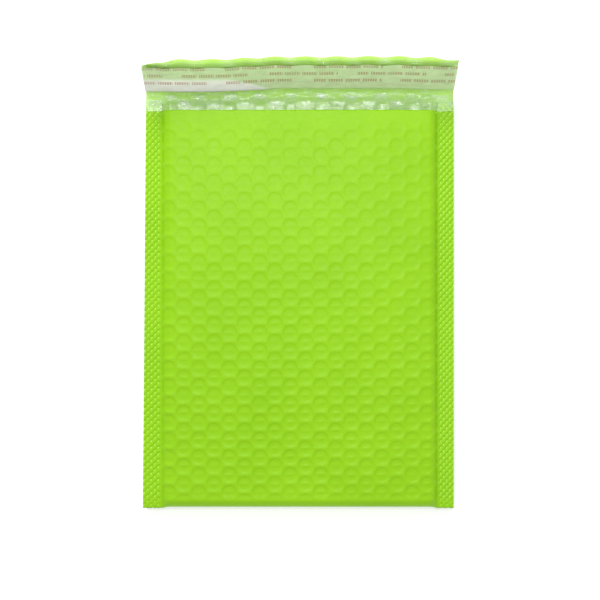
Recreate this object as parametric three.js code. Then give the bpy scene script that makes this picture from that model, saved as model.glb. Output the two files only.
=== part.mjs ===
// A padded envelope: a bag of green film lined with clear bubble sheet. It lies on its back,
// empty and unsealed, with its flap standing up at the mouth.
// Millimetres, +X to the right, +Y from the bottom fold to the flap, +Z up.
// While it is being built, the mouth edge of the front wall is at y = 0 and the back is at z = 0.

import * as THREE from "three";

// Outline of the bag
const BAG_LENGTH = 254.9;
const LEFT_EDGE_AT_MOUTH = -98.9;
const LEFT_EDGE_AT_FOLD = -100.8;
const RIGHT_EDGE = 99.5;
const FOLD_RADIUS = 5;
const SEAM_OVERRUN = 0.9;

// Thickness of the bag and of its layers
const BAG_THICKNESS = 11.6;
const SEAM_THICKNESS = 0.9;
const FILM_WALL = 1;
const SIDE_WALL = 1;
const LAYER_GAP = 0.3;
const LINING_WALL = 2;
const CRUSHED_LINING = 0.5;

// Bubble relief: upright columns of shallow pits, each column half a pitch off its neighbours
const CELL_COLUMNS = 18;
const COLUMN_PITCH = 9.75;
const CELL_PITCH = 11.39;
const CELLS_LEFT = -88.7;
const PIT_DEPTH = 0.7;

// Rows are half a cell pitch apart and counted from the mouth
const LAST_BAG_ROW = -43;
const FIRST_FRONT_ROW = -1;
const LAST_FLAP_ROW = 7;

// Flap: a short flat run past the mouth, a bend, then straight up to its cut edge
const FLAP_LENGTH = 46.4;
const FLAP_FLAT_RUN = 5.5;
const FLAP_BEND_RADIUS = 14;
const FLAP_SLOPE = THREE.MathUtils.degToRad(62);
const FLAP_SIDE_LIFT = 3.5;
const SIDE_LIFT_POWER = 4;
const SEAM_FADE = 20;
const CRUSH_FADE = 12;
const EDGE_SCALLOP = 0.6;

// Glue band and the peel strip over it, by their distance past the mouth along the flap
const LINER_START = 20.8;
const LINER_WIDTH = 22.4;
const LINER_THICKNESS = 0.3;
const GLUE_INSET = 3;
const GLUE_THICKNESS = 0.4;
const STRIP_SIDE_INSET = 0.4;
const GLUE_SIDE_INSET = 2;

const LIFTED_STATIONS = [-50, 0, 50];
const FOLD_STEPS = 6;

const FILM_COLOUR = 0x9bd838;
const LINING_COLOUR = 0xd6f2d2;
const GLUE_COLOUR = 0xe8e6c8;
const LINER_COLOUR = 0xc4ccae;

const MIDDLE = BAG_THICKNESS / 2;
const SEAM_HALF = SEAM_THICKNESS / 2;
const HALF_COLUMN = COLUMN_PITCH / 2;
const HALF_CELL = CELL_PITCH / 2;
const CELLS_RIGHT = CELLS_LEFT + CELL_COLUMNS * COLUMN_PITCH;
const FOLD_START = FOLD_RADIUS - BAG_LENGTH;
const FRONT = Math.PI / 2;
const BACK = -Math.PI / 2;
const { clamp, lerp, smoothstep } = THREE.MathUtils;

// Triangles of one closed surface, gathered as corner points
class Skin {
  constructor() {
    this.corners = [];
  }

  triangle(a, b, c) {
    if (a.equals(b) || b.equals(c) || c.equals(a)) return;
    this.corners.push(a, b, c);
  }

  // Fills between two rows that run along +X. It faces row direction x (from row a to row b).
  band(a, b) {
    let i = 0;
    let j = 0;
    while (i < a.length - 1 || j < b.length - 1) {
      const nextA = i < a.length - 1 ? a[i + 1].x : Infinity;
      const nextB = j < b.length - 1 ? b[j + 1].x : Infinity;
      if (nextA <= nextB) {
        this.triangle(a[i], a[i + 1], b[j]);
        i += 1;
      } else {
        this.triangle(a[i], b[j + 1], b[j]);
        j += 1;
      }
    }
  }

  // Fills between rows of equal length, one after the other
  strips(rows, turned) {
    for (let r = 1; r < rows.length; r += 1) {
      const a = rows[r - 1];
      const b = rows[r];
      for (let i = 1; i < a.length; i += 1) {
        if (turned) {
          this.triangle(a[i - 1], b[i - 1], a[i]);
          this.triangle(a[i], b[i - 1], b[i]);
        } else {
          this.triangle(a[i - 1], a[i], b[i - 1]);
          this.triangle(a[i], b[i], b[i - 1]);
        }
      }
    }
  }

  geometry() {
    return new THREE.BufferGeometry().setFromPoints(this.corners);
  }
}

// The web's left edge: straight beside the flap, and a little further out towards the fold
function leftEdge(y) {
  const share = clamp(-y / BAG_LENGTH, 0, 1);
  return lerp(LEFT_EDGE_AT_MOUTH, LEFT_EDGE_AT_FOLD, share);
}

// 0 on a pressed side seam and 1 on the padded wall, with a straight shoulder between them
function rise(x, inset) {
  const fromSeam = Math.min(x - CELLS_LEFT, CELLS_RIGHT - x) - inset;
  return clamp(fromSeam / HALF_COLUMN, 0, 1);
}

// Half the bag's thickness at x, over the film's outer faces
function outerHalf(x) {
  return lerp(SEAM_HALF, MIDDLE, rise(x, 0));
}

// Half the hollow inside the film at x
function hollowHalf(x) {
  return (MIDDLE - FILM_WALL) * rise(x, SIDE_WALL);
}

// A point of the folded bag. The angle is FRONT on the front wall, BACK on the back wall,
// and runs from one to the other round the bottom fold.
function bagPoint(x, station, half, foldRadius) {
  const y = station.y - foldRadius * Math.cos(station.angle);
  return new THREE.Vector3(x, y, MIDDLE + half * Math.sin(station.angle));
}

// The film's outer face at a station of the bag
function outerBagPoint(x, station) {
  const overrun = SEAM_OVERRUN * (1 - rise(x, 0));
  return bagPoint(x, station, outerHalf(x), FOLD_RADIUS + overrun);
}

// The film's inner face at a station of the bag
function hollowPoint(x, station) {
  return bagPoint(x, station, hollowHalf(x), FOLD_RADIUS - FILM_WALL);
}

// Every layer is cut to the same length, so the bend leaves the inner ones further up the flap
function cutEdge(height) {
  return FLAP_LENGTH + height * FLAP_SLOPE;
}

// A point past the mouth: s along the flap's outer face, and height above that face
function flapPoint(x, s, height) {
  const bent = clamp(s - FLAP_FLAT_RUN, 0, FLAP_SLOPE * FLAP_BEND_RADIUS);
  const angle = bent / FLAP_BEND_RADIUS;
  const before = Math.min(s, FLAP_FLAT_RUN);
  const after = s - before - bent;
  const y = before + FLAP_BEND_RADIUS * Math.sin(angle) + after * Math.cos(angle);
  const z = FLAP_BEND_RADIUS * (1 - Math.cos(angle)) + after * Math.sin(angle);
  return new THREE.Vector3(
    x,
    y - height * Math.sin(angle),
    z + height * Math.cos(angle),
  );
}

// The flap's sides stand a little ahead of its middle, so that it is slightly dished
function sideLift(x) {
  return FLAP_SIDE_LIFT * Math.pow(Math.abs(x) / RIGHT_EDGE, SIDE_LIFT_POWER);
}

// Height over the flap's outer face: as the side seams leave it at the mouth, then as dished
function flapHeight(x, s, atMouth, wall) {
  return lerp(atMouth, wall + sideLift(x), smoothstep(s, 0, SEAM_FADE));
}

function outerFlapPoint(x, s, pit) {
  return flapPoint(x, s, flapHeight(x, s, MIDDLE - outerHalf(x), 0) + pit);
}

// The film's inner face at the mouth line: the seams' top, or the back of the hollow
function innerHeightAtMouth(x) {
  const onSeam = x <= CELLS_LEFT || x >= CELLS_RIGHT;
  return onSeam ? MIDDLE + SEAM_HALF : MIDDLE - hollowHalf(x);
}

// A face over the flap's film: 0 is the film's inner face, and lift is how far it lies above it
function innerFlapPoint(x, s, lift) {
  const height = flapHeight(x, s, innerHeightAtMouth(x), FILM_WALL);
  return flapPoint(x, s, height + lift);
}

function frontCellPoint(x, y, pit) {
  return bagPoint(x, { y, angle: FRONT }, outerHalf(x) - pit, 0);
}

function backCellPoint(x, y, pit) {
  if (y > 0) return outerFlapPoint(x, y, pit);
  return bagPoint(x, { y, angle: BACK }, outerHalf(x) - pit, 0);
}

// One bubble: six facets falling to a shallow pit. At a patch's first or last row it is cut straight.
function addCell(skin, point, x, row, first, last, turned) {
  const centre = point(x, (row + 0.5) * HALF_CELL, PIT_DEPTH);
  const low = row * HALF_CELL;
  const high = (row + 1) * HALF_CELL;
  const rim = [
    point(x + HALF_COLUMN, low, 0),
    point(x + HALF_COLUMN, high, 0),
    point(x, Math.min(row + 1.5, last) * HALF_CELL, 0),
    point(x - HALF_COLUMN, high, 0),
    point(x - HALF_COLUMN, low, 0),
    point(x, Math.max(row - 0.5, first) * HALF_CELL, 0),
  ];
  rim.forEach((corner, i) => {
    const next = rim[(i + 1) % rim.length];
    if (turned) skin.triangle(centre, next, corner);
    else skin.triangle(centre, corner, next);
  });
}

// The tip of a bubble whose pit lies past the end of the patch
function addCellTip(skin, point, x, edgeRow, tipRow, turned) {
  const tip = point(x, tipRow * HALF_CELL, 0);
  const edge = [-HALF_COLUMN, 0, HALF_COLUMN].map((dx) => point(x + dx, edgeRow * HALF_CELL, 0));
  const tipAbove = tipRow > edgeRow;
  for (const [a, b] of [[edge[0], edge[1]], [edge[1], edge[2]]]) {
    if (tipAbove === turned) skin.triangle(b, a, tip);
    else skin.triangle(a, b, tip);
  }
}

// The flat spots between three bubbles, left and right of the point where two of them meet
function addGaps(skin, point, x, row, turned) {
  const tip = point(x, (row + 1.5) * HALF_CELL, 0);
  for (const side of [-1, 1]) {
    const low = point(x + side * HALF_COLUMN, (row + 1) * HALF_CELL, 0);
    const high = point(x + side * HALF_COLUMN, (row + 2) * HALF_CELL, 0);
    if ((side > 0) === turned) skin.triangle(tip, high, low);
    else skin.triangle(tip, low, high);
  }
}

// A whole wall of bubbles between two rows
function addBubbles(skin, point, first, last, turned) {
  for (let column = 0; column < CELL_COLUMNS; column += 1) {
    const x = CELLS_LEFT + (column + 0.5) * COLUMN_PITCH;
    for (let row = first - 1; row <= last; row += 1) {
      if ((row + column) % 2 !== 0) continue;
      if (row >= first && row < last) addCell(skin, point, x, row, first, last, turned);
      if (row === last) addCellTip(skin, point, x, last, last - 0.5, turned);
      if (row === first - 1) addCellTip(skin, point, x, first, first + 0.5, turned);
      if (row + 1 >= first && row + 2 <= last) addGaps(skin, point, x, row, turned);
    }
  }
}

// Every x at which an end row of the bubbles has a corner
function cellStations() {
  const count = 2 * CELL_COLUMNS + 1;
  return Array.from({ length: count }, (_, i) => CELLS_LEFT + i * HALF_COLUMN);
}

// The few x at which a plain cross-section of one layer bends
function shoulderStations(inset) {
  const left = CELLS_LEFT + inset;
  const right = CELLS_RIGHT - inset;
  return [left, left + HALF_COLUMN, right - HALF_COLUMN, right];
}

// The corners of a cross-section of the hollow, and of the flap's film above it
function hollowStations() {
  const [left, leftTop, rightTop, right] = shoulderStations(SIDE_WALL);
  return [left, leftTop, ...LIFTED_STATIONS, rightTop, right];
}

function foldStations() {
  return Array.from({ length: FOLD_STEPS + 1 }, (_, i) => ({
    y: FOLD_START,
    angle: lerp(FRONT, BACK, i / FOLD_STEPS),
  }));
}

function bagRows(from, to, angle) {
  const step = Math.sign(to - from);
  const count = Math.abs(to - from) + 1;
  return Array.from({ length: count }, (_, i) => ({ y: (from + i * step) * HALF_CELL, angle }));
}

function flapRows(height) {
  const rows = Array.from({ length: LAST_FLAP_ROW + 1 }, (_, row) => row * HALF_CELL);
  return [...rows, cutEdge(height)];
}

// The cut edge of the flap waves once for every second column of bubbles
function scallop(x) {
  const turns = (x - CELLS_LEFT) / (2 * COLUMN_PITCH);
  return EDGE_SCALLOP * (1 - Math.cos(2 * Math.PI * turns));
}

function edgePoint(x) {
  return outerFlapPoint(x, FLAP_LENGTH - scallop(x), 0);
}

// The plain strips of the film's outer face: at the mouth, round the fold and at the flap's edge
function addPlainBands(skin) {
  const cells = cellStations();
  const shoulders = shoulderStations(0);
  const mouth = shoulders.map((x) => frontCellPoint(x, 0, 0));
  const frontTop = cells.map((x) => frontCellPoint(x, FIRST_FRONT_ROW * HALF_CELL, 0));
  skin.band(frontTop, mouth);
  const frontEnd = cells.map((x) => frontCellPoint(x, LAST_BAG_ROW * HALF_CELL, 0));
  const backStart = cells.map((x) => backCellPoint(x, LAST_BAG_ROW * HALF_CELL, 0));
  const fold = foldStations().map((station) => shoulders.map((x) => outerBagPoint(x, station)));
  const around = [frontEnd, ...fold, backStart];
  for (let i = 1; i < around.length; i += 1) skin.band(around[i], around[i - 1]);
  const flapTop = cells.map((x) => outerFlapPoint(x, LAST_FLAP_ROW * HALF_CELL, 0));
  skin.band(cells.map(edgePoint), flapTop);
}

// A side of the film's outer face, from the mouth down, round the fold and up to the flap's edge.
// Each row is a pair of points, one at the bubbles and one at the outer edge.
function sideRows(onLeft) {
  const inner = onLeft ? CELLS_LEFT : CELLS_RIGHT;
  const edge = (y) => (onLeft ? leftEdge(y) : RIGHT_EDGE);
  const ordered = (a, b) => (onLeft ? [b, a] : [a, b]);
  const bag = [
    ...bagRows(0, LAST_BAG_ROW, FRONT),
    ...foldStations(),
    ...bagRows(LAST_BAG_ROW, 0, BACK),
  ].map((station) =>
    ordered(outerBagPoint(inner, station), outerBagPoint(edge(station.y), station)),
  );
  const flap = flapRows(0)
    .slice(1)
    .map((s) => ordered(outerFlapPoint(inner, s, 0), outerFlapPoint(edge(s), s, 0)));
  return { bag, flap };
}

// The film's inner face on the flap: rows from the mouth to the cut edge
function flapInnerRows() {
  return flapRows(FILM_WALL).map((s) =>
    [LEFT_EDGE_AT_MOUTH, CELLS_LEFT, ...hollowStations(), CELLS_RIGHT, RIGHT_EDGE].map((x) =>
      innerFlapPoint(x, s, 0),
    ),
  );
}

// One side of the film: the pressed seam, its outer edge, and the flap's edge above it
function addSide(skin, onLeft, inner) {
  const { bag, flap } = sideRows(onLeft);
  skin.strips([...bag, ...flap], true);
  const outermost = onLeft ? 0 : 1;
  const edge = bag.map((row) => row[outermost]);
  const half = (edge.length - 1) / 2;
  const seamEdge = Array.from({ length: half + 1 }, (_, i) => [edge[i], edge[edge.length - 1 - i]]);
  skin.strips(seamEdge, !onLeft);
  const innerEdge = inner.map((row) => row.at(onLeft ? 0 : -1));
  const outerEdge = [edge.at(-1), ...flap.map((row) => row[outermost])];
  skin.strips(innerEdge.map((point, i) => [point, outerEdge[i]]), onLeft);
}

// The hollow that holds the lining, from the mouth down the back and up the front
function addHollow(skin) {
  const stations = hollowStations();
  const mouth = { y: 0 };
  const path = [
    { ...mouth, angle: BACK },
    ...foldStations().reverse(),
    { ...mouth, angle: FRONT },
  ];
  const rows = path.map((station) => stations.map((x) => hollowPoint(x, station)));
  skin.strips(rows, true);
  const rim = shoulderStations(0).map((x) => frontCellPoint(x, 0, 0));
  skin.band(rim, rows.at(-1));
}

// The green film: one web, folded at the bottom, sealed at both sides, with the flap at its end
function outerFilm() {
  const skin = new Skin();
  addBubbles(skin, frontCellPoint, LAST_BAG_ROW, FIRST_FRONT_ROW, false);
  addBubbles(skin, backCellPoint, LAST_BAG_ROW, LAST_FLAP_ROW, true);
  addPlainBands(skin);
  const inner = flapInnerRows();
  skin.strips(inner, false);
  addSide(skin, true, inner);
  addSide(skin, false, inner);
  addHollow(skin);
  const leftCorner = outerFlapPoint(LEFT_EDGE_AT_MOUTH, FLAP_LENGTH, 0);
  const rightCorner = outerFlapPoint(RIGHT_EDGE, FLAP_LENGTH, 0);
  skin.band(inner.at(-1), [leftCorner, ...cellStations().map(edgePoint), rightCorner]);
  return skin.geometry();
}

// A closed slab between an under face and an upper face, both given as rows of points.
// Only the squares for which has(row, column) is true are filled.
function slab(under, upper, has) {
  const skin = new Skin();
  const lastRow = under.length - 2;
  const lastColumn = under[0].length - 2;
  const filled = (r, c) => r >= 0 && c >= 0 && r <= lastRow && c <= lastColumn && has(r, c);
  const wall = (a, b) => {
    skin.triangle(under[a[0]][a[1]], under[b[0]][b[1]], upper[b[0]][b[1]]);
    skin.triangle(under[a[0]][a[1]], upper[b[0]][b[1]], upper[a[0]][a[1]]);
  };
  for (let r = 0; r <= lastRow; r += 1) {
    for (let c = 0; c <= lastColumn; c += 1) {
      if (!filled(r, c)) continue;
      skin.strips([upper[r].slice(c, c + 2), upper[r + 1].slice(c, c + 2)], false);
      skin.strips([under[r].slice(c, c + 2), under[r + 1].slice(c, c + 2)], true);
      if (!filled(r - 1, c)) wall([r, c], [r, c + 1]);
      if (!filled(r, c + 1)) wall([r, c + 1], [r + 1, c + 1]);
      if (!filled(r + 1, c)) wall([r + 1, c + 1], [r + 1, c]);
      if (!filled(r, c - 1)) wall([r + 1, c], [r, c]);
    }
  }
  return skin.geometry();
}

// Thickness of the lining past the mouth, which is pressed flat where the side seams run on
function flapLiningWall(x, s) {
  const pressed = (1 - rise(x, SIDE_WALL)) * (1 - smoothstep(s, 0, CRUSH_FADE));
  return lerp(LINING_WALL, CRUSHED_LINING, pressed);
}

// The lining: a sheet folded at the bottom of the bag, as wide as the hollow inside it,
// and as wide as the flap past the mouth
function bubbleLining() {
  const [left, leftTop, rightTop, right] = shoulderStations(SIDE_WALL);
  const columns = [
    LEFT_EDGE_AT_MOUTH + LAYER_GAP,
    CELLS_LEFT,
    left,
    leftTop + LAYER_GAP,
    ...LIFTED_STATIONS,
    rightTop - LAYER_GAP,
    right,
    CELLS_RIGHT,
    RIGHT_EDGE - LAYER_GAP,
  ];
  const firstInBag = 3;
  const lastInBag = columns.length - 5;
  const bag = [{ y: 0, angle: FRONT }, ...foldStations(), { y: 0, angle: BACK }];
  const bagFace = (depth) =>
    bag.map((station) =>
      columns.map((x) => bagPoint(x, station, MIDDLE - depth, FOLD_RADIUS - depth)),
    );
  const past = (height) => [LAYER_GAP, ...flapRows(height).slice(1)];
  const outerDepth = FILM_WALL + LAYER_GAP;
  const innerDepth = outerDepth + LINING_WALL;
  const under = [
    ...bagFace(outerDepth),
    ...past(outerDepth).map((s) => columns.map((x) => innerFlapPoint(x, s, LAYER_GAP))),
  ];
  const upper = [
    ...bagFace(innerDepth),
    ...past(innerDepth).map((s) =>
      columns.map((x) => innerFlapPoint(x, s, LAYER_GAP + flapLiningWall(x, s))),
    ),
  ];
  const has = (r, c) => r >= bag.length || (c >= firstInBag && c <= lastInBag);
  return slab(under, upper, has);
}

// A strip that lies across the flap, over the lining
function flapStrip(from, to, sideInset, lift, thickness) {
  const left = LEFT_EDGE_AT_MOUTH + sideInset;
  const right = RIGHT_EDGE - sideInset;
  const columns = [left, ...hollowStations(), right];
  const rows = [from, (from + to) / 2, to];
  const face = (height) => rows.map((s) => columns.map((x) => innerFlapPoint(x, s, height)));
  return slab(face(lift), face(lift + thickness), () => true);
}

function addPiece(group, name, geometry, colour, roughness) {
  const material = new THREE.MeshStandardMaterial({ color: colour, roughness, metalness: 0 });
  const mesh = new THREE.Mesh(geometry, material);
  mesh.name = name;
  group.add(mesh);
}

const liningTop = LAYER_GAP + LINING_WALL;
const glueBottom = liningTop + LAYER_GAP;
const linerBottom = glueBottom + GLUE_THICKNESS + LAYER_GAP;
const linerEnd = LINER_START + LINER_WIDTH;
const glue = flapStrip(
  LINER_START + GLUE_INSET,
  linerEnd - GLUE_INSET,
  GLUE_SIDE_INSET,
  glueBottom,
  GLUE_THICKNESS,
);
const liner = flapStrip(LINER_START, linerEnd, STRIP_SIDE_INSET, linerBottom, LINER_THICKNESS);

const envelope = new THREE.Group();
addPiece(envelope, "outer_film", outerFilm(), FILM_COLOUR, 0.45);
addPiece(envelope, "bubble_lining", bubbleLining(), LINING_COLOUR, 0.25);
addPiece(envelope, "adhesive_strip", glue, GLUE_COLOUR, 0.5);
addPiece(envelope, "release_liner", liner, LINER_COLOUR, 0.35);

// The part's origin is the middle of its footprint, on the surface that it lies on
const extent = new THREE.Box3().setFromObject(envelope);
const centre = extent.getCenter(new THREE.Vector3());
envelope.position.set(-centre.x, -centre.y, -extent.min.z);

export default envelope;
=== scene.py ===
import math

import bpy
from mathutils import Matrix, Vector, noise
from mathutils.geometry import delaunay_2d_cdt


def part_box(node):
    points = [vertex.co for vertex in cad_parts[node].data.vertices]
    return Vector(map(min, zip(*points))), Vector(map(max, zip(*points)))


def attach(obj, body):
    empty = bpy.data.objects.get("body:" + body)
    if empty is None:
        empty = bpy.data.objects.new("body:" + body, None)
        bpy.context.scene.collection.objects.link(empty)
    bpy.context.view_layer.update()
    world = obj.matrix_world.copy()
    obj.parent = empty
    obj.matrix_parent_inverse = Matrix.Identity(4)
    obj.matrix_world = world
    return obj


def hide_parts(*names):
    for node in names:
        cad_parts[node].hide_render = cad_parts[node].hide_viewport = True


# A padded envelope of green film, lined with clear bubble sheet, lies open on its back.
# Metres, +X to the right, +Y from the bottom fold to the flap, +Z up.
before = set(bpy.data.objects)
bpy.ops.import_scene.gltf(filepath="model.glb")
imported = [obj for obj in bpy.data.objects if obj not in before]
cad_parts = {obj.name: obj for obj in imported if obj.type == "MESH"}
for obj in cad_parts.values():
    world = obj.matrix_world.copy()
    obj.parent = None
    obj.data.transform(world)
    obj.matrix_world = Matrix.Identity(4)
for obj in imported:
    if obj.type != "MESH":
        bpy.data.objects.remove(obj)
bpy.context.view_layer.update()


# Camera: it looks straight down on the middle of the envelope.
MM = 0.001
BAG_THICKNESS = 11.6 * MM
CAMERA_DISTANCE = 700 * MM
VIEW_WIDTH = 387 * MM
VIEW_MIDDLE = (1.08 * MM, -8.7 * MM)
camera_data = bpy.data.cameras.new("camera")
camera_data.sensor_width = 36
camera_data.lens = camera_data.sensor_width * CAMERA_DISTANCE / VIEW_WIDTH
camera = bpy.data.objects.new("camera", camera_data)
camera.location = (*VIEW_MIDDLE, BAG_THICKNESS / 2 + CAMERA_DISTANCE)
bpy.context.collection.objects.link(camera)
bpy.context.scene.camera = camera


# Outer film: one web of green polythene, folded at the bottom into the front and the back of the
# bag. Its sides are heat sealed between knurled bars, and its end stands up as the flap.
BAG_LENGTH = 254.9 * MM
SEAM_OVERRUN = 0.9 * MM
FOLD_RADIUS = 5 * MM
LEFT_EDGE = -98.9 * MM
RIGHT_EDGE = 99.5 * MM
LEFT_FLARE = 1.9 * MM
PAD_LEFT = -88.4 * MM
PAD_RIGHT = 88.9 * MM
SHOULDER = 5.5 * MM
SHOULDER_ROUNDNESS = 2.3
SEAM_HALF = 0.45 * MM
SEAM_PRESS = 14
MIDDLE = BAG_THICKNESS / 2

film_low, film_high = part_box("outer_film")
PART_X = film_high[0] - RIGHT_EDGE
PART_Y = film_low[1] + BAG_LENGTH + SEAM_OVERRUN

# Distances along the web, from the mouth edge of the front wall
STRAIGHT = BAG_LENGTH - FOLD_RADIUS
FOLD_RUN = math.pi * FOLD_RADIUS
BACK_MOUTH = 2 * STRAIGHT + FOLD_RUN
FLAP_LENGTH = 46.4 * MM
FLAP_END = BACK_MOUTH + FLAP_LENGTH

FLAP_FLAT_RUN = 5.5 * MM
FLAP_BEND_RADIUS = 14 * MM
FLAP_SLOPE = math.radians(62)
SEAM_FADE = 20 * MM

# How far the flap's sides stand ahead of its middle, and how its cut edge curls and waves
LEFT_DISH = 2.3 * MM
RIGHT_DISH = 1.2 * MM
LEFT_CURL = 5.5 * MM
RIGHT_CURL = 2.2 * MM
CURL_START = 39 * MM
CURL_SHARPNESS = 1.5
EDGE_WAVE = 0.55 * MM

# 1 is a round fold, and above it the fold is pinched
FOLD_SHARPNESS = 1.45

# The bubbles under the film stand in upright columns, each half a pitch off its neighbours
COLUMN_PITCH = 9.75 * MM
CELL_PITCH = 11.36 * MM
FIRST_COLUMN = -83.8 * MM
FIRST_ROW = 6.3 * MM
CELL_RADIUS = 4.85 * MM


def clamp(value, low=0.0, high=1.0):
    return max(low, min(high, value))


def smooth(value, low, high):
    """0 at low, 1 at high, and an even rise between them. Low may be the larger one."""
    share = clamp((value - low) / (high - low))
    return share * share * (3 - 2 * share)


def padding(x):
    """0 on a side seam, 1 on the padded wall, and a round shoulder between them."""
    share = clamp(min(x - PAD_LEFT, PAD_RIGHT - x) / SHOULDER)
    return 1 - (1 - share) ** SHOULDER_ROUNDNESS


def half_thickness(x, layer):
    """From the bag's middle out to a layer. A seam presses the inner layers together."""
    return SEAM_HALF * layer ** SEAM_PRESS + (MIDDLE - SEAM_HALF) * padding(x) * layer


def flap_place(x, s, height):
    """A point of the flap: a short flat run past the mouth, a round bend, then the slope."""
    bent = clamp(s - FLAP_FLAT_RUN, 0, FLAP_SLOPE * FLAP_BEND_RADIUS)
    angle = bent / FLAP_BEND_RADIUS
    before = min(s, FLAP_FLAT_RUN)
    after = s - before - bent
    y = before + FLAP_BEND_RADIUS * math.sin(angle) + after * math.cos(angle)
    z = FLAP_BEND_RADIUS * (1 - math.cos(angle)) + after * math.sin(angle)
    return (x, y - height * math.sin(angle), z + height * math.cos(angle))


def flap_dish(x):
    """The flap's sides stand ahead of its middle, the left one more than the right."""
    left = LEFT_DISH * smooth(x, -5 * MM, -62 * MM)
    right = RIGHT_DISH * smooth(x, 60 * MM, 99 * MM)
    return left + right


def flap_curl(x, t):
    """The top corners curl forward, and the cut edge waves with every second column of bubbles."""
    left = LEFT_CURL * clamp((-78 * MM - x) / (21 * MM))
    right = RIGHT_CURL * clamp((x - 84 * MM) / (15 * MM))
    past = clamp((t - CURL_START) / (FLAP_LENGTH - CURL_START))
    wave = EDGE_WAVE * math.cos(2 * math.pi * (x - FIRST_COLUMN) / (2 * COLUMN_PITCH))
    return (left + right) * past ** CURL_SHARPNESS + wave * smooth(t, 30 * MM, FLAP_LENGTH)


def on_web(x, v, layer, lift=0.0):
    """A point of the folded web. Layer is 1 on the film's outer face and 0 in the bag's middle,
    and lift is how far the point stands out from that layer."""
    flare = LEFT_FLARE * clamp((PAD_LEFT - x) / (PAD_LEFT - LEFT_EDGE))
    if v < BACK_MOUTH:
        turn = math.pi * clamp((v - STRAIGHT) / FOLD_RUN)
        y = -min(v, STRAIGHT, BACK_MOUTH - v)
        x -= flare * -y / BAG_LENGTH
        overrun = SEAM_OVERRUN * (1 - padding(x))
        reach = FOLD_RADIUS * layer + lift + overrun
        half = half_thickness(x, layer) + lift
        out = math.sin(turn) ** FOLD_SHARPNESS
        place = (x, y - reach * out, MIDDLE + half * math.cos(turn))
    else:
        height = (1 - layer) * MIDDLE
        s = (v - BACK_MOUTH) * (1 + height * FLAP_SLOPE / FLAP_LENGTH)
        dished = height + flap_dish(x)
        at_mouth = MIDDLE - half_thickness(x, layer)
        fade = smooth(s, 0, SEAM_FADE)
        level = at_mouth + (dished - at_mouth) * fade - lift + flap_curl(x, v - BACK_MOUTH)
        place = flap_place(x, s, level)
    return Vector((place[0] + PART_X, place[1] + PART_Y, place[2]))


def cell_centre(column, row):
    return FIRST_COLUMN + column * COLUMN_PITCH, FIRST_ROW + (row + 0.5 * (column % 2)) * CELL_PITCH


def nearest_cell(x, v):
    """The bubble that is nearest to a point of the web, and the way from its centre."""
    found = None
    near = round((x - FIRST_COLUMN) / COLUMN_PITCH)
    for column in (near - 1, near, near + 1):
        row = round((v - FIRST_ROW) / CELL_PITCH - 0.5 * (column % 2))
        centre = cell_centre(column, row)
        away = (x - centre[0], v - centre[1])
        distance = math.hypot(*away)
        if found is None or distance < found[0]:
            found = (distance, away, (column, row))
    return found


def cell_chance(cell, use):
    """A number from 0 to 1 that is fixed for each bubble, with another one for each use."""
    return 0.5 + 0.5 * noise.cell(Vector((cell[0] + 0.5, cell[1] + 0.5, use + 0.5)))


def from_fold(v):
    """How far a point of the web lies from the middle of the bottom fold."""
    return abs(v - STRAIGHT - FOLD_RUN / 2)


def relief_share(x, v):
    """How strongly the bubbles press through. They don't at the mouth, the fold, the seams and
    the flap's cut edge."""
    past_mouth = smooth(v, 3 * MM, 15 * MM)
    past_fold = 1 - smooth(from_fold(v), 12 * MM, 8.5 * MM)
    past_seam = smooth(min(x - PAD_LEFT, PAD_RIGHT - x), 0.3 * MM, 3 * MM)
    past_edge = smooth(FLAP_END - v, 1.5 * MM, 5 * MM)
    return past_mouth * past_fold * past_seam * past_edge


LOOSE_PRESS = 0.42


def press(v):
    """The film is drawn tight over the bubbles towards the fold, and lies looser at the mouth."""
    return LOOSE_PRESS + (1 - LOOSE_PRESS) * smooth(v, 40 * MM, 235 * MM)


# Each height is a least value and what chance adds to it
DISC_DEPTH = 0.38 * MM
DISC_DEPTH_RANGE = 0.12 * MM
DISC_SHARPNESS = 12
CREASE_HEIGHT = 0.12 * MM
CREASE_HEIGHT_RANGE = 0.26 * MM
CREASE_SHIFT = 0.8 * MM
CREASE_REACH = 2.5 * MM
CREASE_WIDTH = 0.85 * MM


def film_relief(x, v):
    """Each bubble leaves a sunken disc in the film, with a low crease across its middle."""
    distance, (dx, dv), cell = nearest_cell(x, v)
    chance = cell_chance(cell, 3)
    beside_seam = 1 + 0.5 * smooth(x, -79 * MM, -86 * MM)
    depth = (DISC_DEPTH + DISC_DEPTH_RANGE * chance) * beside_seam
    disc = 1 - min(1.0, distance / CELL_RADIUS) ** DISC_SHARPNESS
    across = dx / CREASE_REACH
    along = (dv + (chance - 0.5) * CREASE_SHIFT) / CREASE_WIDTH
    height = (CREASE_HEIGHT + CREASE_HEIGHT_RANGE * cell_chance(cell, 7)) * press(v)
    crease = height * math.exp(-across * across - along * along)
    return relief_share(x, v) * press(v) * (crease - depth * disc)


# The seal bars press slanting rows of small pillows into the seams, and a little way up the flap
KNURL_X = 3.95 * MM
KNURL_START = -98.5 * MM
KNURL_Y = 4.17 * MM
KNURL_DEPTH = 0.72 * MM
KNURL_LEVEL = 0.3


def knurl(x, v):
    """How deep the bars press. Two crossed rows of ribs leave the pillows between them."""
    in_seam = smooth(max(PAD_LEFT - x, x - PAD_RIGHT), 0.8 * MM, 1.6 * MM)
    if v > BACK_MOUTH:
        in_seam *= 1 - smooth(v - BACK_MOUTH, 7 * MM, 9 * MM)
    across = 2 * math.pi * (x - KNURL_START) / KNURL_X
    along = 2 * math.pi * v / KNURL_Y
    ribs = 0.5 + 0.42 * math.cos(across + along) + 0.12 * math.cos(across - along)
    return in_seam * KNURL_DEPTH * (ribs - KNURL_LEVEL)


SLACK_DEPTH = 0.5 * MM


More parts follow.
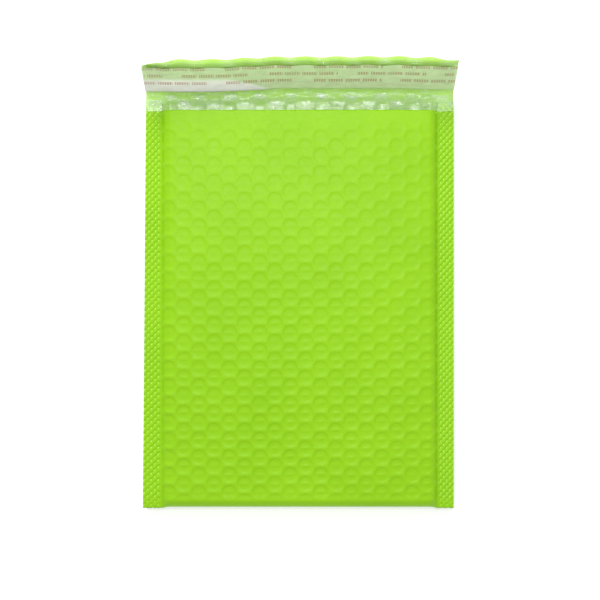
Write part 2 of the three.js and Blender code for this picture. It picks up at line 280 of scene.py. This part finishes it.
def slack(x, v):
    """The wall's own slow unevenness. The back lies on the table, so there it only sinks in."""
    slow = noise.noise(Vector((x * 22, v * 22, 1.7)))
    if v > STRAIGHT + FOLD_RUN / 2:
        slow = (slow - 1) / 2
    return SLACK_DEPTH * slow * padding(x) * smooth(from_fold(v), 8 * MM, 30 * MM)


def outer_film_place(x, v):
    return on_web(x, v, 1, film_relief(x, v) + slack(x, v) - knurl(x, v))


def inner_film_place(x, v):
    """The film's inner side, which comes closer to the outer one at each cut edge."""
    edge = min(v, FLAP_END - v)
    if v > BACK_MOUTH:
        edge = min(edge, x - LEFT_EDGE, RIGHT_EDGE - x)
    layer = 0.95 - 0.12 * smooth(edge, 0, 4 * MM)
    return on_web(x, v, layer, slack(x, v))


def ring_points(centre, radii, count):
    """Points on rings round a centre, with every second ring turned by half a step."""
    points = [centre]
    for k, radius in enumerate(radii):
        for i in range(count):
            angle = 2 * math.pi * (i + 0.5 * (k % 2)) / count
            points.append((centre[0] + radius * math.cos(angle), centre[1] + radius * math.sin(angle)))
    return points


def crease_points(centre):
    """A small close grid across the middle of a bubble, where its crease lies."""
    return [
        (centre[0] + i * 1.4 * MM, centre[1] + j * 0.6 * MM)
        for i in (-2, -1, 0, 1, 2) for j in (-2.6, -1, 0.02, 1, 2.6)
    ]


def steps(low, high, pitch):
    """Even steps from low to high, as near to the pitch as they can be."""
    count = max(1, round((high - low) / pitch))
    return [low + (high - low) * i / count for i in range(count + 1)]


def cell_points(low, high, radii, count, creased=False):
    """Points on rings round every bubble between two distances along the web."""
    points = []
    for column in range(-1, 19):
        for row in range(math.floor(low / CELL_PITCH) - 2, math.ceil(high / CELL_PITCH) + 2):
            centre = cell_centre(column, row)
            found = ring_points(centre, radii, count)
            if creased:
                found += crease_points(centre)
            for x, v in found:
                if low < v < high and PAD_LEFT + 0.2 * MM < x < PAD_RIGHT - 0.2 * MM:
                    points.append((x, v))
    return points


def grid_points(xs, vs, stagger=0.0):
    """Rows of points, with every second row a little to the right."""
    return [(x + stagger * (row % 2), v) for row, v in enumerate(vs) for x in xs]


def outline(left, right, start, end, sides, ends):
    """Points round the cut edge of a sheet, in order."""
    xs = steps(left, right, ends)
    points = [(x, start) for x in xs]
    points += [(right, v) for v in sides]
    points += [(x, end) for x in reversed(xs)]
    points += [(left, v) for v in reversed(sides)]
    return points


def folded_face(rim, points, place, first, is_outer):
    """One face of a sheet: its points folded, its triangles, and where each point lies when flat."""
    flat = [Vector(p) for p in rim + points]
    found = delaunay_2d_cdt(flat, [], [], 0, 1e-7, True)
    verts = [place(*p) for p in found[0]]
    faces = [[first + i for i in face] for face in found[2]]
    if is_outer:
        faces = [face[::-1] for face in faces]
    flats = [(p[0], p[1], float(is_outer)) for p in found[0]]
    return verts, faces, flats


def new_piece(name, verts, faces, flats):
    """A smooth piece that keeps the flat place of each of its points."""
    mesh = bpy.data.meshes.new(name)
    mesh.from_pydata(verts, [], faces)
    web = mesh.attributes.new("web", "FLOAT_VECTOR", "POINT")
    for kept, flat in zip(web.data, flats):
        kept.vector = flat
    mesh.validate()
    for polygon in mesh.polygons:
        polygon.use_smooth = True
    piece = bpy.data.objects.new(name, mesh)
    bpy.context.collection.objects.link(piece)
    return piece


def shell(name, rim, outer, inner, outer_place, inner_place):
    """A closed thin sheet. Each face is triangulated flat, and both are joined round the rim."""
    verts, faces, flats = folded_face(rim, outer, outer_place, 0, True)
    second = len(verts)
    inner_verts, inner_faces, inner_flats = folded_face(rim, inner, inner_place, second, False)
    count = len(rim)
    joined = [(i, (i + 1) % count) for i in range(count)]
    edge_faces = [[i, j, second + j, second + i] for i, j in joined]
    return new_piece(name, verts + inner_verts, faces + inner_faces + edge_faces, flats + inner_flats)


# Points for the mesh: rings round each bubble, close rows in the seams and the fold, and a plain
# grid on the hidden inner side. Rings keep a small gap to the rows beside them.
GAP = 0.35 * MM
front_rings = [5.15 * MM, 4.87 * MM, 4.6 * MM, 4.3 * MM, 3.85 * MM]
flap_rings = [4.9 * MM, 4.3 * MM, 3.2 * MM, 1.6 * MM]
back_rings = [4.8 * MM, 3.7 * MM, 1.8 * MM]
seam_xs = [
    steps(LEFT_EDGE + KNURL_X / 9, PAD_LEFT, KNURL_X / 6),
    steps(PAD_RIGHT, RIGHT_EDGE, KNURL_X / 6),
]
seam_vs = steps(KNURL_Y / 6, STRAIGHT, KNURL_Y / 6)
fold_vs = steps(STRAIGHT, STRAIGHT + FOLD_RUN, FOLD_RUN / 14)
back_vs = steps(STRAIGHT + FOLD_RUN, BACK_MOUTH, KNURL_Y / 4)
flap_vs = steps(BACK_MOUTH, FLAP_END, 1.1 * MM)
side_vs = seam_vs[:-1] + fold_vs + back_vs[1:] + flap_vs[1:-1]
pad_xs = steps(PAD_LEFT + 1 * MM, PAD_RIGHT - 1 * MM, 2.5 * MM)

rim = outline(LEFT_EDGE, RIGHT_EDGE, 0.0, FLAP_END, side_vs, 2 * MM)
outer = cell_points(0.5 * MM, STRAIGHT - GAP, front_rings, 16, creased=True)
outer += cell_points(STRAIGHT + FOLD_RUN + GAP, BACK_MOUTH, back_rings, 10)
outer += cell_points(BACK_MOUTH, FLAP_END - GAP, flap_rings, 12)
outer += grid_points(pad_xs, fold_vs)
for xs in seam_xs:
    outer += grid_points(xs[:-1], side_vs, KNURL_X / 12)
inner_xs = steps(LEFT_EDGE + 4 * MM, RIGHT_EDGE - 4 * MM, 5 * MM)
inner = grid_points(inner_xs, steps(4 * MM, STRAIGHT, 6 * MM))
inner += grid_points(inner_xs, fold_vs[1::2])
inner += grid_points(inner_xs, steps(STRAIGHT + FOLD_RUN + 1 * MM, FLAP_END - 3 * MM, 4 * MM))
inner += grid_points([PAD_LEFT - 0.2 * MM, PAD_RIGHT + 0.2 * MM], steps(2 * MM, BACK_MOUTH, 3 * MM))
film = shell("outer_film_web", rim, outer, inner, outer_film_place, inner_film_place)


def node_maker(tree):
    """Two calls for a node tree: one fills in a node's inputs, and one adds a node."""
    def fill(node, inputs):
        for key, value in inputs.items():
            if isinstance(value, bpy.types.NodeSocket):
                tree.links.new(value, node.inputs[key])
            else:
                node.inputs[key].default_value = value

    def add(kind, inputs, **settings):
        node = tree.nodes.new("ShaderNode" + kind)
        for key, value in settings.items():
            setattr(node, key, value)
        fill(node, inputs)
        return node

    return fill, add


def new_material(name):
    """A material, with one call that adds a node to it and one that fills in its own shader."""
    material = bpy.data.materials.new(name)
    material.use_nodes = True
    fill, add = node_maker(material.node_tree)

    def surface(**inputs):
        named = {key.replace("_", " "): value for key, value in inputs.items()}
        fill(material.node_tree.nodes["Principled BSDF"], named)

    return material, add, surface


def web_place(add):
    """Across the web, along it, and 1 on the outer side of the sheet."""
    kept = add("Attribute", {}, attribute_name="web").outputs["Vector"]
    return add("SeparateXYZ", {0: kept}).outputs


def object_place(add, stretch=(1, 1, 1)):
    place = add("TexCoord", {}).outputs["Object"]
    return add("Mapping", {"Vector": place, "Scale": stretch}).outputs["Vector"]


def clouds(add, place, scale, detail=2.0):
    return add("TexNoise", {"Vector": place, "Scale": scale, "Detail": detail}).outputs["Fac"]


def spread(add, value, low, high, start=0.3, end=0.7):
    """Carry a value from one range to another."""
    inputs = {"Value": value, "From Min": start, "From Max": end, "To Min": low, "To Max": high}
    return add("MapRange", inputs).outputs["Result"]


def blend_colours(add, share, first, second):
    node = add("Mix", {0: share}, data_type="RGBA")
    for index, colour in ((6, first), (7, second)):
        if isinstance(colour, bpy.types.NodeSocket):
            node.id_data.links.new(colour, node.inputs[index])
        else:
            node.inputs[index].default_value = (*colour, 1)
    return node.outputs[2]


def maths(add, kind, first, second):
    return add("Math", {0: first, 1: second}, operation=kind).outputs[0]


def bump(add, height, depth, under=None):
    inputs = {"Height": height, "Strength": 1.0, "Distance": depth}
    if under:
        inputs["Normal"] = under
    return add("Bump", inputs).outputs["Normal"]


# The film's inner face is a paler green than its outside, and it is made lighter still as a painted glow
# that stands in for light coming through the film from behind.
INSIDE_GREEN_WITH_PAINTED_GLOW = (0.54, 0.93, 0.11)
DEEP_GREEN = (0.280, 0.615, 0.002)
FRESH_GREEN = (0.307, 0.655, 0.004)
film_material, add, surface = new_material("green_film")
is_outside = web_place(add)[2]
surface_place = object_place(add)
pulled_place = object_place(add, (1, 2.6, 1))
tint = spread(add, clouds(add, surface_place, 26, 4), 0, 1)
grain = bump(add, clouds(add, surface_place, 900), 0.012 * MM)
outside = blend_colours(add, tint, DEEP_GREEN, FRESH_GREEN)
surface(
    Base_Color=blend_colours(add, is_outside, INSIDE_GREEN_WITH_PAINTED_GLOW, outside),
    Roughness=spread(add, clouds(add, surface_place, 340), 0.34, 0.44),
    Specular_IOR_Level=0.25,
    Normal=bump(add, clouds(add, pulled_place, 170, 4), 0.1 * MM, grain),
)
film.data.materials.append(film_material)
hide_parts("outer_film")
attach(film, "root")


# Bubble lining: a clear sheet of air bubbles, welded to the inside of the green web. It is folded
# with the web, and past the mouth it lines the flap as far as the cut edge.
LINING_OUTER = 0.80
LINING_INNER = 0.43
LINING_INSET = 0.3 * MM
LINING_START = 0.4 * MM
LINING_END = FLAP_END - LINING_INSET
DOME_HEIGHT = 1.75 * MM
PUCKER_DEPTH = 0.27 * MM
DIMPLE_DEPTH = 0.2 * MM
DIMPLE_DEPTH_RANGE = 0.2 * MM


def lining_domes(x, v):
    """The bubble side: sealed flat between the bubbles, and out to the film on each bubble."""
    distance, _, _ = nearest_cell(x, v)
    full = DOME_HEIGHT * padding(x)
    if v > BACK_MOUTH:
        full = DOME_HEIGHT * max(padding(x), smooth(v - BACK_MOUTH, 6 * MM, 16 * MM))
    return -full * (1 - smooth(distance, 5.1 * MM, 3.9 * MM))


def crumple(x, v):
    """Small lengthwise puckers of the clear sheet, from just inside the mouth on."""
    small = noise.noise(Vector((x * 95, v * 260, 4.2)))
    large = noise.noise(Vector((x * 40, v * 110, 8.1)))
    return PUCKER_DEPTH * (small + large) * smooth(v, BACK_MOUTH - 12 * MM, BACK_MOUTH)


def outer_lining_place(x, v):
    return on_web(x, v, LINING_OUTER, lining_domes(x, v) + slack(x, v))


def inner_lining_place(x, v):
    distance, _, cell = nearest_cell(x, v)
    depth = DIMPLE_DEPTH + DIMPLE_DEPTH_RANGE * cell_chance(cell, 9)
    dimple = depth * smooth(distance, 5.2 * MM, 1.5 * MM) * padding(x)
    pressed = 0.9 * knurl(x, v) if v > BACK_MOUTH else 0.0
    return on_web(x, v, LINING_INNER, dimple + slack(x, v) + pressed + crumple(x, v))


NEAR_MOUTH = BACK_MOUTH - 30 * MM
lining_left = LEFT_EDGE + LINING_INSET
lining_right = RIGHT_EDGE - LINING_INSET
lining_sides = steps(3 * MM, STRAIGHT, 3 * MM)[:-1]
lining_sides += fold_vs[::2]
lining_sides += steps(STRAIGHT + FOLD_RUN, BACK_MOUTH, 2 * MM)[1:]
lining_sides += steps(BACK_MOUTH, LINING_END, 1.1 * MM)[1:-1]
rim = outline(lining_left, lining_right, LINING_START, LINING_END, lining_sides, 1.6 * MM)
dome_rings = [5.3 * MM, 4.7 * MM, 4.1 * MM, 2.5 * MM]
dimple_rings = [5.2 * MM, 4.2 * MM, 3.2 * MM, 1.6 * MM]
hidden_rings = [4.7 * MM]


def inside_lining(xs):
    return [x for x in xs if lining_left + 0.5 * MM < x < lining_right - 0.5 * MM]


lining_seam_xs = [x for xs in seam_xs for x in inside_lining(xs[1::3])]
outer = cell_points(2 * MM, STRAIGHT - GAP, dome_rings[1:], 8)
outer += cell_points(STRAIGHT + FOLD_RUN + GAP, NEAR_MOUTH, dome_rings[1:], 8)
outer += cell_points(NEAR_MOUTH, FLAP_END - 1 * MM, dome_rings, 14)
inner = cell_points(2 * MM, STRAIGHT - GAP, hidden_rings, 6)
inner += cell_points(STRAIGHT + FOLD_RUN + GAP, NEAR_MOUTH, hidden_rings, 6)
inner += cell_points(NEAR_MOUTH, FLAP_END - 1 * MM, dimple_rings, 14)
foot_xs = [PAD_LEFT - 0.2 * MM, PAD_LEFT + 0.6 * MM, PAD_RIGHT - 0.6 * MM, PAD_RIGHT + 0.2 * MM]
for points in (outer, inner):
    points += grid_points(foot_xs, steps(1 * MM, BACK_MOUTH, 1.6 * MM))
    points += grid_points(pad_xs[::2], fold_vs[::2])
    points += grid_points(lining_seam_xs, fold_vs[::2])
    for xs in seam_xs:
        inside = inside_lining(xs)
        points += grid_points(inside[::4], steps(4 * MM, STRAIGHT - 1 * MM, 5 * MM))
        points += grid_points(inside[::4], steps(STRAIGHT + FOLD_RUN + 1 * MM, BACK_MOUTH - 2 * MM, 5 * MM))
        points += grid_points(inside, steps(BACK_MOUTH, FLAP_END - 1 * MM, KNURL_Y / 6))
lining = shell("bubble_lining_sheet", rim, outer, inner, outer_lining_place, inner_lining_place)


def paint(piece, name, amount):
    """Keep an amount for each point of a sheet, for its material to read."""
    web = piece.data.attributes["web"].data
    values = [amount(point.vector.x, point.vector.y) for point in web]
    kept = piece.data.attributes.new(name, "FLOAT", "POINT")
    kept.data.foreach_set("value", values)


def haze(x, v):
    """The sheet is milky where it lies slack in the mouth, there partly its own haze and partly a painted
    sheen, and in the pressed ends of the seams.
    """
    mouth = 1 - smooth(v - BACK_MOUTH, 3 * MM, 15 * MM)
    ends = smooth(max(PAD_LEFT - x, x - PAD_RIGHT), -1 * MM, 1 * MM)
    return 0.8 * mouth + 0.3 * ends * (1 - smooth(v - BACK_MOUTH, 9 * MM, 14 * MM))


GLINT_HALF_WIDTH = 6.8 * MM
GLINT_HALF_HEIGHT = 3.7 * MM
GLINT_SHIFT = 2.6 * MM


def glint(x, v):
    """Painted highlights: white patches on the bubbles beside the mouth, and fainter ones at the cut edge."""
    _, (dx, dv), cell = nearest_cell(x, v)
    patch = math.hypot(dx / GLINT_HALF_WIDTH, (dv + GLINT_SHIFT) / GLINT_HALF_HEIGHT)
    near = 1 - smooth(v - BACK_MOUTH, 13.5 * MM, 16 * MM)
    edge = 0.45 * smooth(v, FLAP_END - 6 * MM, FLAP_END - 4 * MM)
    return (0.46 + 0.32 * cell_chance(cell, 21)) * (near + edge) * smooth(patch, 1.4, 0.15)


paint(lining, "haze", haze)
paint(lining, "glint", glint)
# The first colour is the sheet's milky haze together with its painted sheen, and the second is the colour
# of the painted highlights.
MILKY_SHEEN = (0.84, 0.99, 0.76)
WHITE_GLINT = (0.95, 0.99, 0.95)
lining_material, add, surface = new_material("clear_bubble_film")
surface_place = object_place(add)
pulled_place = object_place(add, (1, 2.2, 2.2))
# Milky where the attribute says: partly the sheet's own haze, partly a painted sheen near the mouth.
milk_and_sheen = add("Attribute", {}, attribute_name="haze").outputs["Fac"]
patches = spread(add, clouds(add, pulled_place, 110, 3), 0.45, 1.45)
milk_and_sheen = maths(add, "MULTIPLY", spread(add, milk_and_sheen, 0.10, 0.24, 0, 1), patches)
# Painted highlights on the bubbles, broken up by noise.
painted_glint = add("Attribute", {}, attribute_name="glint").outputs["Fac"]
broken = spread(add, clouds(add, pulled_place, 310, 4), 0.12, 0.85, 0.38, 0.64)
painted_glint = maths(add, "MULTIPLY", painted_glint, broken)
surface(
    Base_Color=blend_colours(add, painted_glint, MILKY_SHEEN, WHITE_GLINT),
    Roughness=spread(add, clouds(add, surface_place, 300), 0.09, 0.2),
    IOR=1.6,
    Specular_IOR_Level=1.0,
    Coat_Weight=1.0,
    Coat_Roughness=0.08,
    Alpha=maths(add, "MAXIMUM", milk_and_sheen, painted_glint),
    Normal=bump(add, clouds(add, pulled_place, 240, 3), 0.15 * MM),
)
lining.data.materials.append(lining_material)
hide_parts("bubble_lining")
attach(lining, "root")


# Adhesive strip: a band of clear hot-melt glue, laid across the flap's lining.
LINER_START = 20.8 * MM
LINER_WIDTH = 22.4 * MM
GLUE_INSET = 3 * MM
GLUE_LEFT = LEFT_EDGE + 2 * MM
GLUE_RIGHT = RIGHT_EDGE - 2 * MM
GLUE_LIFT = 0.35 * MM
GLUE_THICKNESS = 0.3 * MM


def strip_run(distance):
    """A distance up the flap, as a distance along the web for what lies on the lining."""
    stretch = 1 + (1 - LINING_INNER) * MIDDLE * FLAP_SLOPE / FLAP_LENGTH
    return BACK_MOUTH + distance / stretch


def strip(name, left, right, start, end, low, high, pitch):
    """A thin strip across the flap's lining, between two heights over it."""
    def place_at(over):
        return lambda x, v: on_web(x, v, LINING_INNER, slack(x, v) - over(x, v))
    sides = steps(strip_run(start), strip_run(end), pitch)
    edge = outline(left, right, sides[0], sides[-1], sides[1:-1], pitch)
    middle = grid_points(steps(left + pitch, right - pitch, pitch), sides[1:-1])
    return shell(name, edge, middle, middle, place_at(low), place_at(high))


def glue_top(x, v):
    """The upper face of the glue, uneven with small beads."""
    beads = noise.noise(Vector((x * 160, v * 420, 2.6)))
    return GLUE_LIFT + GLUE_THICKNESS * (1 + 0.25 * beads)


def glue_bottom(x, v):
    return GLUE_LIFT


glue = strip(
    "adhesive_band", GLUE_LEFT, GLUE_RIGHT,
    LINER_START + GLUE_INSET, LINER_START + LINER_WIDTH - GLUE_INSET,
    glue_bottom, glue_top, 1.6 * MM,
)
DARK_GLUE = (0.72, 0.74, 0.42)
PALE_GLUE = (0.86, 0.84, 0.62)
glue_material, add, surface = new_material("hot_melt_glue")
surface_place = object_place(add, (1, 2.5, 2.5))
beads = clouds(add, surface_place, 220, 3)
surface(
    Base_Color=blend_colours(add, beads, DARK_GLUE, PALE_GLUE),
    Roughness=spread(add, beads, 0.18, 0.4),
    Alpha=spread(add, beads, 0.25, 0.5),
    Normal=bump(add, beads, 0.15 * MM),
)
glue.data.materials.append(glue_material)
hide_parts("adhesive_strip")
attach(glue, "root")


# Release liner: a translucent peel-off strip over the glue, a little wider than it. Its lower left
# part has come off the glue. Rows of short brown dashes are printed along it.
LINER_LEFT = LEFT_EDGE + 0.4 * MM
LINER_RIGHT = RIGHT_EDGE - 0.4 * MM
LINER_LIFT = GLUE_LIFT + GLUE_THICKNESS * 1.3 + 0.1 * MM
LINER_THICKNESS = 0.12 * MM
LOOSE_LIFT = 0.35 * MM
RIPPLE = 0.12 * MM


def loose(x, v):
    """1 where the liner has come off the glue."""
    reach = 11 * MM * smooth(x, -12 * MM, -48 * MM)
    below = smooth(v - strip_run(LINER_START), reach + 0.8 * MM, reach - 1.6 * MM)
    return below * smooth(reach, 0, 2 * MM)


def liner_bottom(x, v):
    ripple = noise.noise(Vector((x * 60, v * 130, 5.5)))
    return LINER_LIFT + LOOSE_LIFT * loose(x, v) + RIPPLE * ripple


def liner_top(x, v):
    return liner_bottom(x, v) + LINER_THICKNESS


liner = strip(
    "release_liner_strip", LINER_LEFT, LINER_RIGHT, LINER_START, LINER_START + LINER_WIDTH,
    liner_bottom, liner_top, 1.3 * MM,
)
paint(liner, "loose", loose)

# The print: rows of runs, each run of a few groups, and each group of short marks
ROW_PITCH = 6 * MM
ROW_RISE = 0.29
ROW_SHARE = 0.42
ROW_START = strip_run(LINER_START) - 1.2 * MM
RUN_PITCH = 55.2 * MM
RUN_START = -46.3 * MM
RUN_SHARE = 0.785
GROUPS_PER_RUN = 5.1
GROUP_SHARE = 0.86
MARK_PITCH = 1.55 * MM
MARK_SHARE = 0.68
ON_GLUE = (0.69, 0.85, 0.50)
OFF_GLUE = (0.80, 0.80, 0.74)
BROWN_INK = (0.36, 0.13, 0.06)
liner_material, add, surface = new_material("release_film")


def within(add, value, share):
    """1 in the first share of each whole step of a value."""
    return maths(add, "LESS_THAN", maths(add, "FRACT", value, 0.0), share)


across, along, _ = web_place(add)
rows = maths(add, "DIVIDE", maths(add, "SUBTRACT", along, ROW_START), ROW_PITCH)
every_other = within(add, maths(add, "DIVIDE", rows, 2.0), 0.5)
runs = maths(add, "DIVIDE", maths(add, "SUBTRACT", across, RUN_START), RUN_PITCH)
runs = maths(add, "ADD", runs, maths(add, "MULTIPLY", every_other, 0.5))
row = within(add, maths(add, "SUBTRACT", rows, ROW_RISE), ROW_SHARE)
run = within(add, runs, RUN_SHARE)
group = within(add, maths(add, "MULTIPLY", runs, GROUPS_PER_RUN), GROUP_SHARE)
mark = within(add, maths(add, "DIVIDE", across, MARK_PITCH), MARK_SHARE)
ink = maths(add, "MULTIPLY", maths(add, "MULTIPLY", row, run), maths(add, "MULTIPLY", group, mark))
surface_place = object_place(add, (1, 2, 2))
wear = clouds(add, surface_place, 130, 4)
ink = maths(add, "MULTIPLY", ink, maths(add, "GREATER_THAN", rows, 1.0))
ink = maths(add, "MULTIPLY", ink, spread(add, wear, 0.4, 0.75))
lifted = add("Attribute", {}, attribute_name="loose").outputs["Fac"]
plain = blend_colours(add, lifted, ON_GLUE, OFF_GLUE)
cover = maths(add, "ADD", spread(add, wear, 0.5, 0.64), maths(add, "MULTIPLY", lifted, 0.3))
surface(
    Base_Color=blend_colours(add, ink, plain, BROWN_INK),
    Roughness=spread(add, wear, 0.28, 0.45),
    Alpha=maths(add, "MAXIMUM", cover, ink),
    Normal=bump(add, clouds(add, surface_place, 180, 3), 0.15 * MM),
)
liner.data.materials.append(liner_material)
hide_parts("release_liner")
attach(liner, "root")


# Studio: a white table and white air, a soft key lamp beyond the flap and to the left, a wide soft
# box over the mouth, and a low strip lamp over the mouth that is aimed at the flap.
FLOOR_SIZE = 6
FLOOR_GLOW = 0.35
AIR_LIGHT = 0.63
WHITE = (1, 1, 1, 1)


def seen_directly(add):
    """1 for what the camera, a glossy surface or a clear one sees, 0 for the light that falls."""
    rays = add("LightPath", {}).outputs
    both = maths(add, "MAXIMUM", rays["Is Camera Ray"], rays["Is Glossy Ray"])
    return maths(add, "MAXIMUM", both, rays["Is Transmission Ray"])


bpy.ops.object.select_all(action="DESELECT")
bpy.ops.mesh.primitive_plane_add(size=FLOOR_SIZE, location=(0, 0, 0))
floor = bpy.context.object
floor.name = "floor"
floor_material, add, surface = new_material("white_table")
surface(
    Base_Color=(0.86, 0.86, 0.86, 1),
    Roughness=spread(add, clouds(add, object_place(add), 30), 0.85, 0.95),
    Emission_Color=WHITE,
    Emission_Strength=spread(add, seen_directly(add), 0, FLOOR_GLOW, 0, 1),
)
floor.data.materials.append(floor_material)


def lamp(name, place, target, size, power, spread_angle=180):
    """A flat lamp that faces its target."""
    data = bpy.data.lights.new(name, "AREA")
    data.shape = "RECTANGLE"
    data.size, data.size_y = size
    data.energy = power
    data.spread = math.radians(spread_angle)
    lamp_object = bpy.data.objects.new(name, data)
    lamp_object.location = place
    aim = Vector(target) - Vector(place)
    lamp_object.rotation_euler = aim.to_track_quat("-Z", "Y").to_euler()
    bpy.context.collection.objects.link(lamp_object)
    return lamp_object


lamp("key", (-0.25, 1.0, 0.7), (0, 0, 0), (0.35, 0.35), 7)
lamp("soft_box", (-0.05, 0.32, 1.3), (0, 0.05, 0), (0.42, 0.42), 3.9)
flap_light = lamp("flap_light", (0, 0.066, 0.059), (0, 0.130, 0.023), (0.2, 0.012), 0.0082, 48)
flap_light.visible_camera = False
world = bpy.data.worlds.new("white_air")
bpy.context.scene.world = world
world.use_nodes = True
fill, add = node_maker(world.node_tree)
strength = spread(add, seen_directly(add), AIR_LIGHT, 1.0, 0, 1)
fill(world.node_tree.nodes["Background"], {"Color": WHITE, "Strength": strength})
bpy.context.scene.view_settings.view_transform = "Standard"
